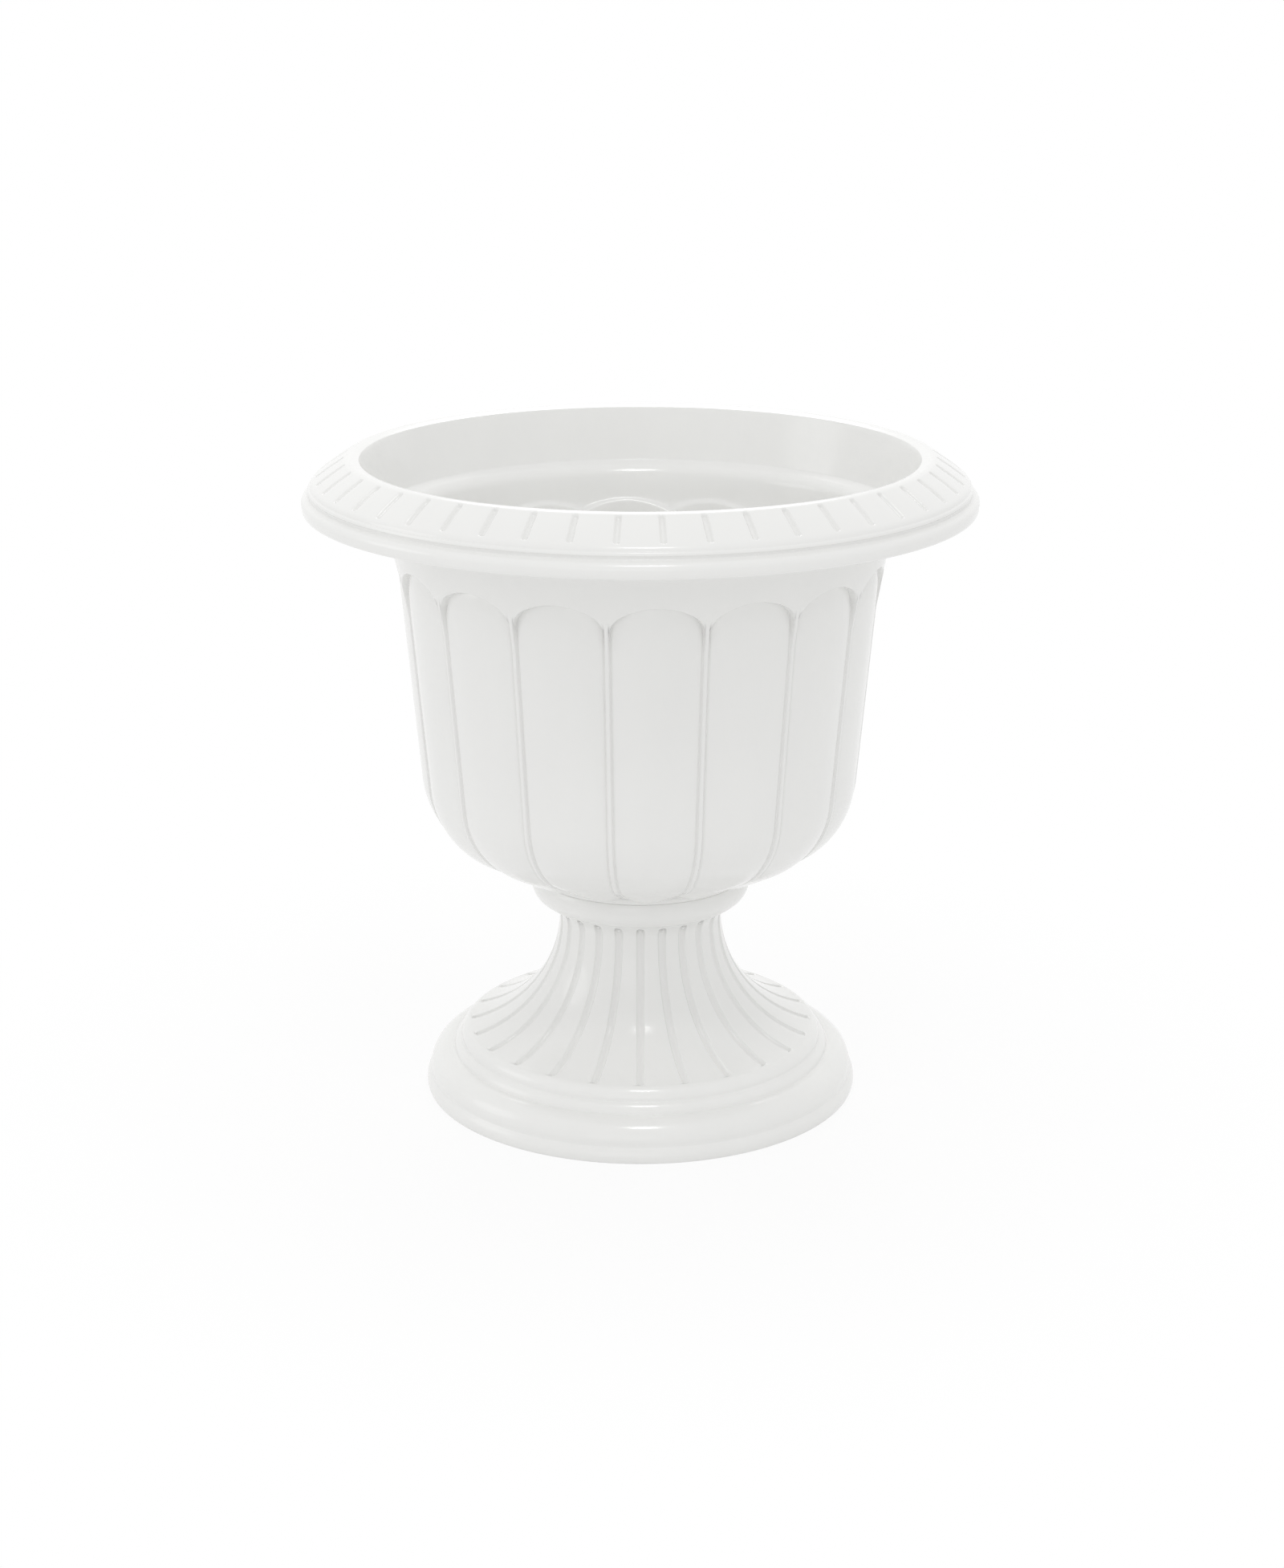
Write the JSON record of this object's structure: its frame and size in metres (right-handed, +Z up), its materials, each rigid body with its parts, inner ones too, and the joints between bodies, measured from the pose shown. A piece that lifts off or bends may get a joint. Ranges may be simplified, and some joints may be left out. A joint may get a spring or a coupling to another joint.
{
  "type": "urn planter",
  "caption": "Round fluted urn planter: wide notched rim, arched flutes, reeded pedestal and stepped foot; the bowl twist-locks to the pedestal and has a drain plug.",
  "frame": {"origin": "centre of the foot's resting face, on the planter's upright axis", "axes": "+Z up along the planter's upright axis; -Y is the side that faces the picture's camera, +X to its right"},
  "size_m": [0.406, 0.4059, 0.4035],
  "materials": {
    "bowl_plastic": "satin",
    "pedestal_plastic": "satin",
    "plug_plastic": "matte"
  },
  "bodies": {
    "pedestal": {"pedestal": "pedestal_plastic"},
    "bowl": {"bowl": "bowl_plastic"},
    "drain_plug": {"drain_plug": "plug_plastic"}
  },
  "joints": [
    {"name": "bowl_twist", "type": "hinge", "parent": "pedestal", "child": "bowl", "pos_m": [0, 0, 0.139], "axis": [0, 0, 1], "range_deg": [0, 30]},
    {"name": "plug_pull", "type": "slide", "parent": "bowl", "child": "drain_plug", "axis": [0, 0, 1], "range_m": [0, 0.012]}
  ]
}
